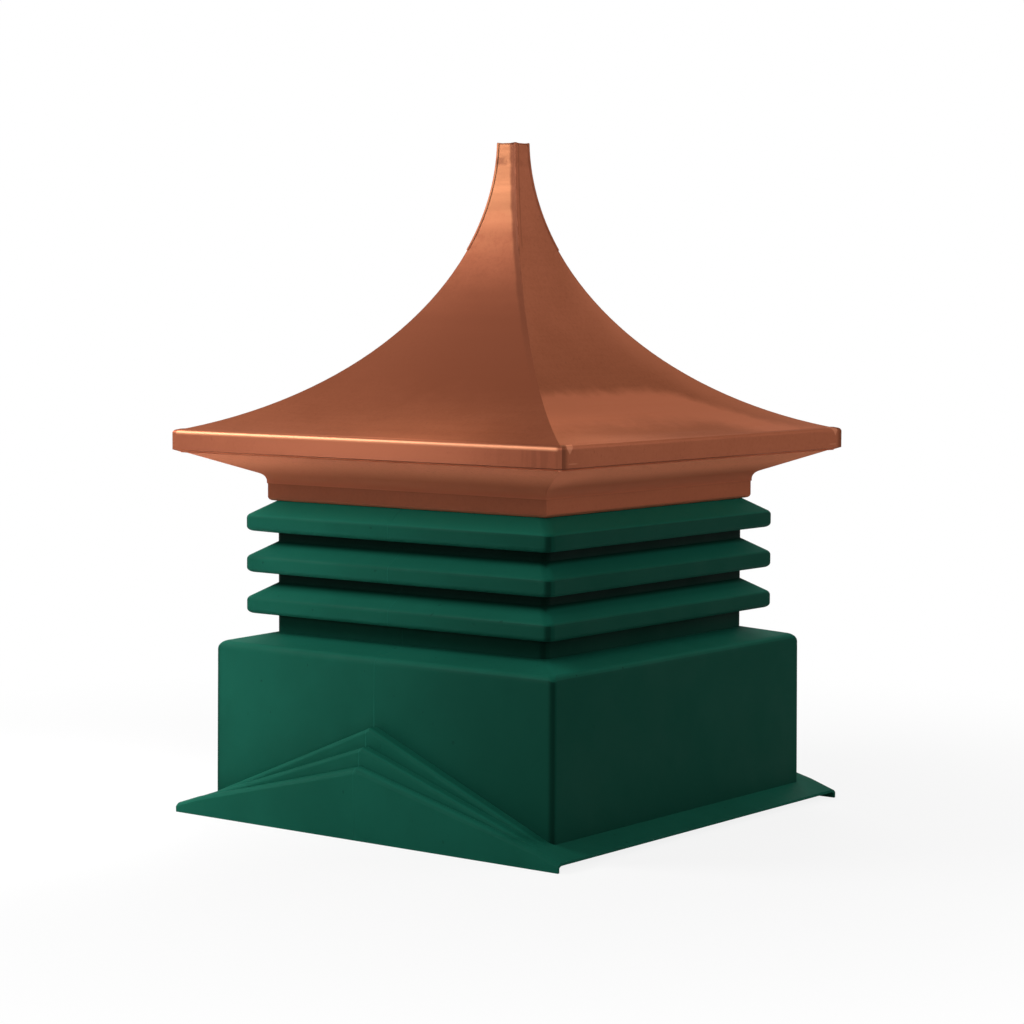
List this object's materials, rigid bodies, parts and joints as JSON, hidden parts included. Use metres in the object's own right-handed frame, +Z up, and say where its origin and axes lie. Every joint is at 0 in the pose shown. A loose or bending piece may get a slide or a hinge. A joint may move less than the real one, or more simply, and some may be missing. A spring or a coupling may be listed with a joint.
{
  "type": "square louvred roof cupola",
  "caption": "Square roof cupola: moulded louvred body on a stepped saddle base for a ridge, under a concave copper roof.",
  "frame": {"origin": "middle of the underside, level with the bottom edge of the two end skirts", "axes": "+Z up; the ridge of the roof below runs along Y, the stepped end faces look along -Y and +Y, the plain sides along -X and +X"},
  "size_m": [0.66, 0.6646, 0.9184],
  "materials": {
    "green_body": "moulded, semi-gloss",
    "copper_roof": "brushed copper sheet, lightly tarnished",
    "copper_trim": "brushed copper sheet, lightly tarnished",
    "copper_seam": "folded copper, worn bright",
    "deck": "plain plywood"
  },
  "bodies": {
    "root": {"moulded_body": "green_body", "roof_panel_front": "copper_roof", "roof_panel_right": "copper_roof", "roof_panel_back": "copper_roof", "roof_panel_left": "copper_roof", "edge_trim_front": "copper_trim", "edge_trim_right": "copper_trim", "edge_trim_back": "copper_trim", "edge_trim_left": "copper_trim", "soffit_front": "copper_roof", "soffit_right": "copper_roof", "soffit_back": "copper_roof", "soffit_left": "copper_roof", "neck_band_front": "copper_trim", "neck_band_right": "copper_trim", "neck_band_back": "copper_trim", "neck_band_left": "copper_trim", "hip_seam_front_right": "copper_seam", "hip_seam_back_right": "copper_seam", "hip_seam_back_left": "copper_seam", "hip_seam_front_left": "copper_seam", "apex_cap": "copper_seam", "roof_deck": "deck"}
  },
  "joints": []
}
